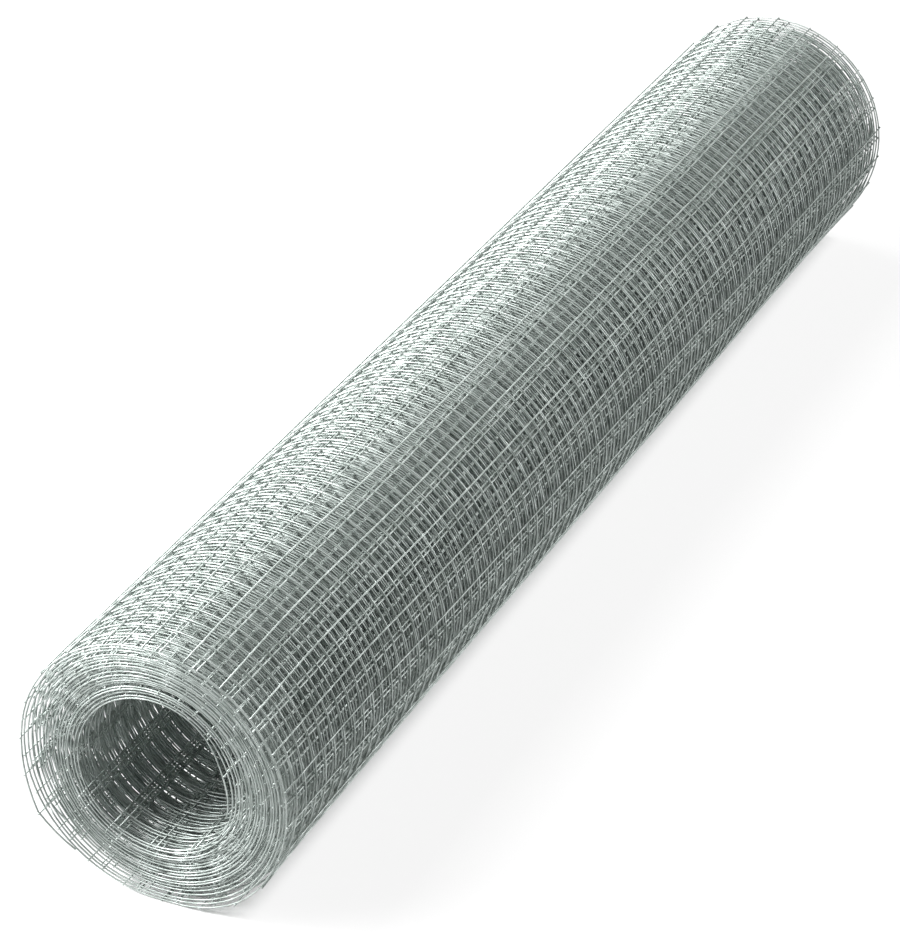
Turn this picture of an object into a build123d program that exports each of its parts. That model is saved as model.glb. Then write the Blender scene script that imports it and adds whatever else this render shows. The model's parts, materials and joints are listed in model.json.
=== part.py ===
"""Roll of galvanised welded wire mesh, lying on its side with its axis along +Y.

The sheet is wound in a spiral with no core. The roll is one turned solid with its bore, and each
turn of the sheet shows on both ends as a ring, with a groove between it and the next turn.
The winding has slipped a little along the axis, turn by turn, so the near end is dished and the
far end stands out by as much.
The origin is on the floor under the middle of the roll, +Z is up, and sizes are in millimetres.
"""
import os

from build123d import *

# Driving dimensions of the sheet
wire_diameter = 1.05
weld_set_down = 0.05
cell_width = 12.5
cells_across = 80
edge_stub = 1.0

# Driving dimensions of the roll
bore_diameter = 99.0
turns = 19
end_dish = 3.0

# A crossing is two wires thick, less what they sink into each other at the weld
turn_pitch = 2 * wire_diameter - weld_set_down

# The sheet's edge wires lie on the outermost cells, and the cut cross wires stand past them
sheet_width = cells_across * cell_width + 2 * edge_stub

# Radii of the roll, and the height of its axis when it lies on the floor
bore_radius = bore_diameter / 2
outer_radius = bore_radius + turns * turn_pitch
axis_height = outer_radius

# How far each turn has slipped past the next one inside it
turn_slip = end_dish / (turns - 1)

# The groove between two turns is as wide as the room the cross wires hold open there,
# and as deep as the stubs and the near half of the edge wire
groove_width = turn_pitch - wire_diameter
groove_depth = edge_stub + wire_diameter / 2


def end_outline(end):
    """Points from the bore to the outside along one end: the near one for -1, the far one for 1."""
    points = []
    for turn in range(turns):
        edge = end * sheet_width / 2 + end_dish / 2 - turn * turn_slip
        inner = bore_radius + turn * turn_pitch
        outer = inner + turn_pitch
        if turn > 0:
            inner += groove_width / 2
            # The groove goes down from whichever of its two turns lies deeper
            deeper_edge = edge if end > 0 else edge + turn_slip
            points.append((deeper_edge - end * groove_depth, inner - groove_width / 2))
        if turn < turns - 1:
            outer -= groove_width / 2
        points.append((edge, inner))
        points.append((edge, outer))
    return [(along, axis_height + radius) for along, radius in points]


os.makedirs("parts", exist_ok=True)

with BuildPart() as mesh_roll:
    # One side of the roll's section, from the bore out to the last turn
    with BuildSketch(Plane.YZ) as section:
        with BuildLine():
            Polyline(*end_outline(-1), *reversed(end_outline(1)), close=True)
        make_face()
    revolve(axis=Axis((0, 0, axis_height), (0, 1, 0)), revolution_arc=360)

mesh_roll.part.label = "mesh_roll"
export_step(mesh_roll.part, "parts/mesh_roll.step")
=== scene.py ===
"""Looks of a roll of galvanised welded wire mesh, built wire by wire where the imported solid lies.

The sheet is wound in a spiral. Its line wires run round the roll and its cross wires run along it,
on the outer face of the line wires. Every wire is a thin tube that follows the wound sheet.
Lengths are in metres. Angles are in degrees clockwise from the top, seen from the near end.
"""
import json
import math

import bpy
import numpy as np
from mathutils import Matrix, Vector


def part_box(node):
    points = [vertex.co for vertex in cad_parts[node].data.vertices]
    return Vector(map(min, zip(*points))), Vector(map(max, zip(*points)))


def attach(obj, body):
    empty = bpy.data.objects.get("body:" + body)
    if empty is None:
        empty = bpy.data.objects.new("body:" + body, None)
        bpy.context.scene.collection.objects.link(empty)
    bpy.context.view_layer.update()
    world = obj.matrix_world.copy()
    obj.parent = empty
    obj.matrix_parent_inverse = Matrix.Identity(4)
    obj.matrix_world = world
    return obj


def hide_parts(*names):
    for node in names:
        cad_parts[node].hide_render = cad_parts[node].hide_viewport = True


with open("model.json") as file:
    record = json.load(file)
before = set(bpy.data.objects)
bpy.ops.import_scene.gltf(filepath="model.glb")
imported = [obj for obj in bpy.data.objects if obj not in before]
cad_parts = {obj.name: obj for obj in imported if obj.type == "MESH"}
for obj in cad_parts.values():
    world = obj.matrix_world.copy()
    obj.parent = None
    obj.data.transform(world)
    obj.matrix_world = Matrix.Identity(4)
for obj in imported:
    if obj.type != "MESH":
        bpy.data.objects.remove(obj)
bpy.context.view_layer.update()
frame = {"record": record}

# Driving dimensions of the sheet
MM = 0.001
wire_diameter = 1.05 * MM
weld_set_down = 0.05 * MM
cell_width = 12.5 * MM
cell_length = 25.1 * MM
cells_across = 80
edge_stub = 1.0 * MM
shown_stub = 0.35 * MM
over_width = 1.0048

# The roll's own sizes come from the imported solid
low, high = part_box("mesh_roll")
roll_radius = (high.x - low.x) / 2
axis_height = (high.z + low.z) / 2
half_width = cells_across * cell_width / 2
sheet_width = 2 * half_width + 2 * edge_stub
end_dish = (high.y - low.y) - sheet_width
bore_radius = frame["record"]["mounts"][0]["dims"]["r_mm"] * MM

# Where the sheet starts and stops. It goes anticlockwise as it winds outwards.
inner_end_angle = 111.0
outer_end_angle = -121.0
whole_turns = 18
wound_turns = whole_turns + (inner_end_angle - outer_end_angle) / 360
first_turn_radius = bore_radius + 1.1 * MM
last_turn_radius = roll_radius + 0.35 * MM

# The two layers of wire are half a crossing apart on each side of the sheet's middle
wire_lift = (wire_diameter - weld_set_down) / 2

# No turn is wound quite as tight as the next, or quite in line with it, apart from the sheet's ends
uneven_radius = 0.3 * MM
uneven_turns = 2.6
even_end_turns = 1.5
uneven_slip = 0.8 * MM
uneven_slip_turns = 7.0

# At the lower left the inner turns have sunk outwards, and the outer ones stand well apart.
# The turns that this moves most, and how many, are counted from the outer end.
sunk_angle = -118
sunk_spread = 46
inner_sink = 1.7 * MM
middle_pull = 3.0 * MM
middle_pull_turns = (7, 4.5)
outer_stand = 1.3 * MM
outer_stand_turns = (1, 1.2)

# At the lower right the outer turns hang a little loose, and most of all towards the sheet's edges
loose_angle = 146
loose_spread = 27
loose_turns = 5
loose_hang = 1.0 * MM
edge_flare = 3.4 * MM
edge_reach = 60 * MM

# The innermost turns hang slack across the bore near the free inner end
slack_angle = 72
slack_spread = 30
inner_slack = 4.6 * MM

# The free outer end has sprung out, and the wire ends past the last cross wire hook back in
sprung_out = 5.2 * MM
sprung_degrees = 40
hook_per_degree = 0.27 * MM
hook_degrees = 20

# At the top of the near end the turns lie in close bunches, with a wider gap between two bunches
bunch_angle = 12
bunch_spread = 62
bunch_reach = 60 * MM
bunch_gap = 1.5 * MM
bunch_gap_turns = (1.6, 8.7, 15.7)
bunch_step = 0.12

# On the right side the outer turns stand off the ones under them, but not at the far end
stand_angle = 62
stand_spread = 42
stand_off = 1.3 * MM
stand_stop = 240 * MM
stand_fade = 50 * MM

# There, the outer turns have also slipped past each other by about a wire, counted from the outside
slip_angle = 60
slip_spread = 46
slip_turns = (0, 0.5, 1.5, 2.5, 3.5, 5.0)
slips = (0, 0, 1.6 * MM, -0.9 * MM, 1.0 * MM, 0)


def bell(value, centre, width):
    """A smooth hump of height 1."""
    return np.exp(-(((value - centre) / width) ** 2))


def soft_step(value, place, width):
    """A smooth step up from 0 to 1, or down from 1 to 0 where the width is negative."""
    return 1 / (1 + np.exp(-(value - place) / width))


def drift(value, wavelength, seed):
    """A slow seeded wave about as high as 1, for the small unevenness of handwork."""
    random = np.random.default_rng(seed)
    total = np.zeros_like(value, dtype=float)
    for stretch in (1.0, 0.61, 0.37):
        total += stretch * np.sin(2 * math.pi * (value / (wavelength * stretch) + random.random()))
    return total / 1.3


def turn_angle(turn):
    """Angle from the top after so many turns from the inner end."""
    return inner_end_angle - 360 * turn


def near_angle(turn, angle, spread):
    """A smooth hump of height 1 where the sheet passes an angle."""
    off = (turn_angle(turn) - angle + 180) % 360 - 180
    return bell(off, 0, spread)


def looseness(turn):
    """How loose the outer turns are: 1 at the outer end, and 0 where they are wound tight."""
    return np.clip(1 - (wound_turns - turn) / loose_turns, 0, 1)


def middle_radius(turn):
    """Radius of the middle of the sheet after so many turns from its inner end."""
    share = np.clip(turn / wound_turns, 0, 1)
    from_end = wound_turns - turn
    radius = first_turn_radius + (last_turn_radius - first_turn_radius) * turn / wound_turns
    inside = np.clip(np.minimum(turn, from_end) / even_end_turns, 0, 1)
    radius = radius + uneven_radius * inside * drift(turn, uneven_turns, seed=3)
    sunk = inner_sink * (1 - share)
    sunk = sunk - middle_pull * bell(from_end, *middle_pull_turns)
    sunk = sunk + outer_stand * bell(from_end, *outer_stand_turns)
    radius = radius + sunk * near_angle(turn, sunk_angle, sunk_spread)
    radius = radius + loose_hang * looseness(turn) * near_angle(turn, loose_angle, loose_spread)
    # Each turn is half as slack as the one inside it
    radius = radius - inner_slack * 0.5 ** turn * near_angle(turn, slack_angle, slack_spread)
    before_end = from_end * 360
    spring = sprung_out * np.clip(1 - before_end / sprung_degrees, 0, 1) ** 2
    hook = sprung_out + before_end * hook_per_degree
    return radius + np.where(before_end >= 0, spring, hook)


def bunching(turn, across):
    """How far the turns lie off an even pitch: bunched at the near end, apart on the right side."""
    share = np.clip(turn / wound_turns, 0, 1)
    bunched = np.zeros_like(share)
    for gap_turn in bunch_gap_turns:
        bunched = bunched + bunch_gap * (soft_step(turn, gap_turn, bunch_step) - share)
    nearness = np.exp(-np.maximum(across + half_width, 0) / bunch_reach)
    bunched = bunched * nearness * near_angle(turn, bunch_angle, bunch_spread)
    under = soft_step(turn, bunch_gap_turns[-1], -bunch_step)
    far_fade = soft_step(across, stand_stop, -stand_fade)
    apart = stand_off * under * share ** 2 * far_fade * near_angle(turn, stand_angle, stand_spread)
    return bunched - apart


def end_flare(turn, across):
    """How much further the loose outer turns hang out towards the sheet's edges."""
    to_edge = half_width - np.abs(across)
    flare = edge_flare * looseness(turn) * np.exp(-to_edge / edge_reach)
    return flare * near_angle(turn, loose_angle, loose_spread)


def axial_slip(turn):
    """How far the sheet has slipped along the roll after so many turns."""
    from_end = wound_turns - turn
    inside = np.clip(np.minimum(turn, from_end), 0, 1)
    # The outer turns lie more in line than the ones deep in the roll
    depth = np.clip(from_end / 8, 0.15, 1)
    uneven = uneven_slip * inside * depth * drift(turn, uneven_slip_turns, seed=8)
    outer_slip = np.interp(from_end, slip_turns, slips) * near_angle(turn, slip_angle, slip_spread)
    return end_dish * (0.5 - turn / wound_turns) + uneven + outer_slip


def sheet_point(turn, across, lift):
    """A point on the wound sheet, lifted off its middle, in the frame of the part."""
    turn, across = np.broadcast_arrays(turn, across)
    angle = np.radians(turn_angle(turn))
    radius = middle_radius(turn) + bunching(turn, across) + end_flare(turn, across)
    # Where the roll lies on the floor, the sheet can go no lower
    resting = (axis_height - wire_diameter) / np.maximum(-np.cos(angle), 0.1)
    radius = np.minimum(radius, resting) + lift
    along = across + axial_slip(turn)
    return np.stack([radius * np.sin(angle), along, axis_height + radius * np.cos(angle)], axis=-1)


def off_axis(points):
    """From the roll's axis straight out to points."""
    return (points - (0, 0, axis_height)) * (1, 0, 1)


def unit(vectors):
    """Vectors made 1 long."""
    return vectors / np.linalg.norm(vectors, axis=-1, keepdims=True)


def wire_tubes(paths, sides):
    """Tubes along a stack of paths, as points, four-sided faces and end faces."""
    # A tube of few sides is made as much wider as keeps the wire as wide to the eye
    radius = wire_diameter / 2 * round(math.pi / (sides * math.sin(math.pi / sides)), 2)
    along = unit(np.gradient(paths, axis=1))
    outward = off_axis(paths)
    outward = unit(outward - along * (outward * along).sum(-1, keepdims=True))
    sideways = np.cross(along, outward)
    round_angle = np.arange(sides) * 2 * math.pi / sides
    rings = np.cos(round_angle)[:, None] * outward[..., None, :]
    rings = rings + np.sin(round_angle)[:, None] * sideways[..., None, :]
    points = paths[..., None, :] + radius * rings
    index = np.arange(points[..., 0].size).reshape(points.shape[:-1])
    here = index[:, :-1]
    there = index[:, 1:]
    walls = np.stack([here, np.roll(here, -1, 2), np.roll(there, -1, 2), there], axis=-1)
    caps = np.concatenate([index[:, 0, ::-1], index[:, -1]])
    return points.reshape(-1, 3), [walls.reshape(-1, 4), caps]


def add_piece(name, parts, material):
    """One joined mesh of many small parts, riding on the roll's body in place of its solid."""
    points = np.concatenate([part[0] for part in parts])
    corners = []
    sizes = []
    first = 0
    for part_points, groups in parts:
        for faces in groups:
            corners.append((faces + first).ravel())
            sizes.append(np.full(len(faces), faces.shape[1]))
        first += len(part_points)
    corners = np.concatenate(corners)
    sizes = np.concatenate(sizes)
    mesh = bpy.data.meshes.new(name)
    mesh.vertices.add(len(points))
    mesh.vertices.foreach_set("co", points.ravel())
    mesh.loops.add(len(corners))
    mesh.loops.foreach_set("vertex_index", corners)
    mesh.polygons.add(len(sizes))
    mesh.polygons.foreach_set("loop_start", np.cumsum(sizes) - sizes)
    mesh.polygons.foreach_set("use_smooth", np.ones(len(sizes), bool))
    mesh.update(calc_edges=True)
    mesh.validate()
    mesh.materials.append(material)
    piece = bpy.data.objects.new(name, mesh)
    bpy.context.scene.collection.objects.link(piece)
    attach(piece, "root")
    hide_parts("mesh_roll")
    print(name, int((sizes - 2).sum()), "triangles")


def linear(hex_colour):
    """An sRGB hex colour as linear red, green, blue and alpha."""
    parts = [int(hex_colour[k:k + 2], 16) / 255 for k in (1, 3, 5)]
    return [c / 12.92 if c <= 0.04045 else ((c + 0.055) / 1.055) ** 2.4 for c in parts] + [1.0]


def add_node(tree, kind, inputs, settings=()):
    """A node with its settings, its values and its links."""
    made = tree.nodes.new(kind)
    for name, value in settings:
        setattr(made, name, value)
    for name, value in inputs.items():
        if isinstance(value, bpy.types.NodeSocket):
            tree.links.new(value, made.inputs[name])
        else:
            made.inputs[name].default_value = value
    return made


def blank_material(name):
    """A material with an empty node tree."""
    material = bpy.data.materials.new(name)
    material.use_nodes = True
    material.node_tree.nodes.clear()
    return material


def galvanised_steel(name, dull, bright, smooth, rough):
    """Steel hot-dipped in zinc after welding: a dull, faintly green grey skin, patchy where it froze.

    The eye sees soft grey highlights along each wire, with duller and brighter stretches.
    """
    patch_length = 9 * MM
    grain_length = 1.2 * MM
    grain_height = 0.12 * MM
    material = blank_material(name)
    tree = material.node_tree
    place = add_node(tree, "ShaderNodeTexCoord", {}).outputs["Object"]
    patch = add_node(tree, "ShaderNodeTexNoise", {
        "Vector": place, "Scale": 1 / patch_length, "Detail": 3.0})
    grain = add_node(tree, "ShaderNodeTexNoise", {
        "Vector": place, "Scale": 1 / grain_length, "Detail": 2.0})
    patches = {"Value": patch.outputs["Fac"], "From Min": 0.3, "From Max": 0.7}
    patchy = add_node(tree, "ShaderNodeMapRange", patches)
    colour = add_node(tree, "ShaderNodeMix", {
        0: patchy.outputs[0], 6: linear(dull), 7: linear(bright)}, [("data_type", "RGBA")])
    roughness = add_node(tree, "ShaderNodeMapRange", {**patches, "To Min": rough, "To Max": smooth})
    # Real zinc grain on wire is finer than this: it is drawn coarse enough to catch the light
    bump = add_node(tree, "ShaderNodeBump", {
        "Height": grain.outputs["Fac"], "Strength": 0.25, "Distance": grain_height})
    zinc = add_node(tree, "ShaderNodeBsdfPrincipled", {
        "Base Color": colour.outputs[2], "Metallic": 1.0, "Roughness": roughness.outputs[0],
        "Normal": bump.outputs["Normal"]})
    add_node(tree, "ShaderNodeOutputMaterial", {"Surface": zinc.outputs[0]})
    return material


zinc_wire = galvanised_steel("galvanised_steel_drawn_wire", "#9aa29e", "#c6cdca", 0.5, 0.7)
zinc_weld = galvanised_steel("galvanised_steel_weld", "#a4aca8", "#cfd6d3", 0.5, 0.66)

# Line wires, each a little off its place across the sheet and swaying out of step with the next
line_count = cells_across + 1
line_scatter = 0.3 * MM
line_sway = 0.16 * MM
sway_turns = 0.7
out_of_step = 0.37
line_random = np.random.default_rng(21)
line_places = (np.arange(line_count) - cells_across / 2) * cell_width * over_width
line_places = line_places + line_random.normal(0, line_scatter, line_count)


def line_wires(first_turn, last_turn, steps_per_turn, sides, chosen):
    """Line wires of some turns of the sheet, for a choice of places across it."""
    steps = round((last_turn - first_turn) * steps_per_turn)
    turn = np.linspace(first_turn, last_turn, steps + 1)[None, :]
    across = line_places[chosen][:, None]
    sway = line_sway * drift(turn + across / cell_width * out_of_step, sway_turns, seed=5)
    paths = sheet_point(turn, across + sway, -wire_lift)
    return wire_tubes(paths, sides)


# Turns and edges that are seen get finer tubes than the turns deep in the roll
every_line = np.arange(line_count)
edge_count = 4
edge_lines = np.concatenate([every_line[:edge_count], every_line[-edge_count:]])
field_lines = every_line[edge_count:-edge_count]
inner_stop = 3.0
outer_start = wound_turns - 4.0
outer_middle = wound_turns - 2.0
outer_stop = wound_turns + hook_degrees / 360
half_way = (inner_stop + outer_start) / 2
bore_steps = 66
outer_steps = 72
edge_steps = 60
deep_steps = 36
seen_sides = 5
deep_sides = 3

add_piece("line_wires_inner_turns",
          [line_wires(0, inner_stop, bore_steps, seen_sides, every_line)], zinc_wire)
for name, start, stop in (("line_wires_middle_turns_a", inner_stop, half_way),
                          ("line_wires_middle_turns_b", half_way, outer_start)):
    add_piece(name, [line_wires(start, stop, deep_steps, deep_sides, field_lines),
                     line_wires(start, stop, edge_steps, seen_sides, edge_lines)], zinc_wire)
for name, start, stop in (("line_wires_outer_turns_a", outer_start, outer_middle),
                          ("line_wires_outer_turns_b", outer_middle, outer_stop)):
    add_piece(name, [line_wires(start, stop, outer_steps, seen_sides, every_line)], zinc_wire)

# Cross wires stand one cell apart along the sheet, counted back from the one at its outer end
fine_turn = np.linspace(0, wound_turns, 20000)
step_length = (middle_radius(fine_turn) - wire_lift) * 2 * math.pi * (fine_turn[1] - fine_turn[0])
sheet_length = np.concatenate([[0], np.cumsum((step_length[1:] + step_length[:-1]) / 2)])
cross_count = int(sheet_length[-1] / cell_length) + 1
cross_lengths = sheet_length[-1] - cell_length * np.arange(cross_count)
cross_turns = np.interp(cross_lengths, sheet_length, fine_turn)

# The last cells before the outer end are longer, and the others a little uneven
long_cells_turns = 0.38
end_shift = 7.2
uneven_shift = 1.2
even_angle = 57.5
round_shift = end_shift - uneven_shift * np.sin(np.radians(turn_angle(cross_turns) - even_angle))
shifted = np.clip((wound_turns - cross_turns) / long_cells_turns, 0, 1)
cross_turns = cross_turns - round_shift / 360 * shifted

# The sheet is wound a little askew, and each cross wire is welded on a little askew, in degrees.
# Each pull on the cross wires has its degrees, its place along the roll and its length there.
skew = 0.35
weld_skew = 0.12
cross_random = np.random.default_rng(34)
cross_tilt = cross_random.normal(0, weld_skew, cross_count)
outermost_pull = (-1.9, -405 * MM, 100 * MM)
under_pull = (0.8, -250 * MM, 130 * MM)
far_pull = (0.7, 220 * MM, 55 * MM)


def pulled(pull, across):
    """How far a pull takes a cross wire round, at points across the sheet."""
    degrees, place, length = pull
    return degrees * bell(across, place, length)


def cross_place(number, across):
    """The turn that a cross wire lies on, at points across the sheet."""
    turn = cross_turns[number][:, None]
    askew = (skew + cross_tilt[number][:, None]) * across / half_width
    # The outermost turn is pulled round near one end, and the turns under it the other way
    outermost = np.clip((1.1 - (wound_turns - turn)) / 0.4, 0, 1)
    askew = askew + outermost * pulled(outermost_pull, across)
    askew = askew + (1 - outermost) * pulled(under_pull, across)
    askew = askew + pulled(far_pull, across)
    return turn - askew / 360


def cross_wires(number, steps, sides):
    """Some of the cross wires, from one cut end to the other."""
    reach = half_width * over_width + shown_stub
    across = np.linspace(-reach, reach, steps + 1)[None, :]
    paths = sheet_point(cross_place(number, across), across, wire_lift)
    return wire_tubes(paths, sides)


number = np.arange(cross_count)
outer_cross = number[cross_turns > outer_start]
inner_cross = number[cross_turns <= outer_start]
add_piece("cross_wires_outer_turns", [cross_wires(outer_cross, steps=40, sides=6)], zinc_wire)
add_piece("cross_wires_inner_turns", [cross_wires(inner_cross, steps=20, sides=4)], zinc_wire)


def weld_beads(number):
    """Zinc and weld metal that fills the corners where the wires of the outer turns cross."""
    bead_size = 0.82 * MM
    bead_scatter = 0.07 * MM
    bead_sides = 6
    # Shares of a bead's size: the reach of its belt, and half the height of its belt and of the bead
    belt_reach = 0.9
    belt_height = 0.28
    crown = 0.55
    across = line_places[None, :]
    centre = sheet_point(cross_place(number, across), across, 0.0).reshape(-1, 3)
    outward = unit(off_axis(centre))
    along = np.zeros_like(centre)
    along[:, 1] = 1
    sideways = np.cross(along, outward)
    size = np.random.default_rng(55).normal(bead_size, bead_scatter, len(centre))[:, None, None]
    round_angle = np.arange(bead_sides) * 2 * math.pi / bead_sides
    girdle = np.cos(round_angle)[:, None] * along[:, None]
    girdle = girdle + np.sin(round_angle)[:, None] * sideways[:, None]
    belt = centre[:, None] + belt_reach * size * girdle
    up = size * outward[:, None]
    points = np.concatenate([belt + belt_height * up, belt - belt_height * up,
                             centre[:, None] + crown * up, centre[:, None] - crown * up], axis=1)
    base = np.arange(len(centre))[:, None] * (2 * bead_sides + 2)
    here = base + np.arange(bead_sides)
    there = base + (np.arange(bead_sides) + 1) % bead_sides
    top = np.broadcast_to(base + 2 * bead_sides, here.shape)
    walls = np.stack([here, here + bead_sides, there + bead_sides, there], axis=-1)
    upper = np.stack([here, there, top], axis=-1)
    lower = np.stack([there + bead_sides, here + bead_sides, top + 1], axis=-1)
    cones = np.concatenate([upper.reshape(-1, 3), lower.reshape(-1, 3)])
    return points.reshape(-1, 3), [walls.reshape(-1, 4), cones]


add_piece("weld_beads_outer_turns", [weld_beads(number[cross_turns > outer_middle])], zinc_weld)

# Camera where the photo was taken from
focal_pixels = 3772.75
image_height = 942
look_down = 29.889
look_left = 25.237
camera_data = bpy.data.cameras.new("camera")
camera_data.sensor_width = 36
camera_data.lens = focal_pixels / image_height * camera_data.sensor_width
camera = bpy.data.objects.new("camera", camera_data)
camera.location = (0.9276, -2.06747, 1.33352)
camera.rotation_euler = (math.radians(90 - look_down), 0, math.radians(look_left))
bpy.context.scene.collection.objects.link(camera)
bpy.context.scene.camera = camera


def studio_floor():
    """Matt white paper, lit up to white except in a patch of painted shade where the roll's shadow
    lies.
    """
    fibre_length = 2 * MM
    # The patch of painted shade under the roll, from where it starts to give way to where it has ended
    painted_shade_start = 0.42 * roll_radius
    painted_shade_stop = 0.7 * roll_radius
    painted_shade_half_length = (high.y - low.y) / 2 - 0.5 * roll_radius
    lit_most = 0.86
    material = blank_material("white_paper_glow_and_painted_shade")
    tree = material.node_tree
    place = add_node(tree, "ShaderNodeTexCoord", {}).outputs["Object"]
    fibre = add_node(tree, "ShaderNodeTexNoise", {
        "Vector": place, "Scale": 1 / fibre_length, "Detail": 2.0})
    tone = add_node(tree, "ShaderNodeMix", {
        0: fibre.outputs["Fac"], 6: linear("#ededed"), 7: linear("#f1f1f1")}, [("data_type", "RGBA")])
    paper = add_node(tree, "ShaderNodeBsdfDiffuse", {"Color": tone.outputs[2]})
    white = add_node(tree, "ShaderNodeEmission", {"Color": (1, 1, 1, 1), "Strength": 1.0})
    # Only what is seen straight, in a mirror or through glass is lit up
    path = add_node(tree, "ShaderNodeLightPath", {})
    mirrored = add_node(tree, "ShaderNodeMath", {
        0: path.outputs["Is Camera Ray"], 1: path.outputs["Is Glossy Ray"]}, [("operation", "MAXIMUM")])
    seen = add_node(tree, "ShaderNodeMath", {
        0: mirrored.outputs[0], 1: path.outputs["Is Transmission Ray"]}, [("operation", "MAXIMUM")])
    # How far a point lies outside the patch of painted shade
    spot = add_node(tree, "ShaderNodeSeparateXYZ", {0: place})
    beside = add_node(tree, "ShaderNodeMath", {0: spot.outputs["X"]}, [("operation", "ABSOLUTE")])
    beyond = add_node(tree, "ShaderNodeMath", {0: spot.outputs["Y"]}, [("operation", "ABSOLUTE")])
    past_end = add_node(tree, "ShaderNodeMath", {
        0: beyond.outputs[0], 1: painted_shade_half_length}, [("operation", "SUBTRACT")])
    outside = add_node(tree, "ShaderNodeMath", {
        0: beside.outputs[0], 1: past_end.outputs[0]}, [("operation", "MAXIMUM")])
    # Outside the patch the paper glows, so the patch is painted shade in the shape of the roll's
    # footprint
    lit = add_node(tree, "ShaderNodeMapRange", {
        "Value": outside.outputs[0], "From Min": painted_shade_start, "From Max": painted_shade_stop,
        "To Max": lit_most}, [("interpolation_type", "SMOOTHSTEP")])
    share = add_node(tree, "ShaderNodeMath", {
        0: seen.outputs[0], 1: lit.outputs[0]}, [("operation", "MULTIPLY")])
    both = add_node(tree, "ShaderNodeMixShader", {
        0: share.outputs[0], 1: paper.outputs[0], 2: white.outputs[0]})
    add_node(tree, "ShaderNodeOutputMaterial", {"Surface": both.outputs[0]})
    return material


floor_size = 60
bpy.ops.mesh.primitive_plane_add(size=floor_size)
floor = bpy.context.object
floor.name = "studio_floor"
floor.data.materials.append(studio_floor())

# Plain soft light from all round
fill_light = 0.06
world = bpy.data.worlds.new("studio")
world.use_nodes = True
bpy.context.scene.world = world
world.node_tree.nodes.clear()
around = add_node(world.node_tree, "ShaderNodeBackground", {
    "Color": (1, 1, 1, 1), "Strength": fill_light})
add_node(world.node_tree, "ShaderNodeOutputWorld", {"Surface": around.outputs[0]})


def soft_box(name, place, target, size, power):
    """A large square lamp that faces a point, with its power in watts."""
    data = bpy.data.lights.new(name, "AREA")
    data.shape = "SQUARE"
    data.size = size
    data.energy = power
    lamp = bpy.data.objects.new(name, data)
    lamp.location = place
    aim = lamp.location - Vector(target)
    lamp.rotation_euler = aim.to_track_quat("Z", "Y").to_euler()
    bpy.context.scene.collection.objects.link(lamp)


soft_box("soft_box_left", (-1.95, 0.0, 1.85), (0, 0, 1.0), 3.7, 305)
soft_box("soft_box_above", (-1.8, -1.7, 2.1), (0, -0.2, 0), 1.6, 145)
soft_box("soft_box_right", (1.9, 0.8, 1.25), (0, 0.25, 0.1), 1.4, 44)

bpy.context.scene.view_settings.view_transform = "Standard"

bpy.context.view_layer.update()
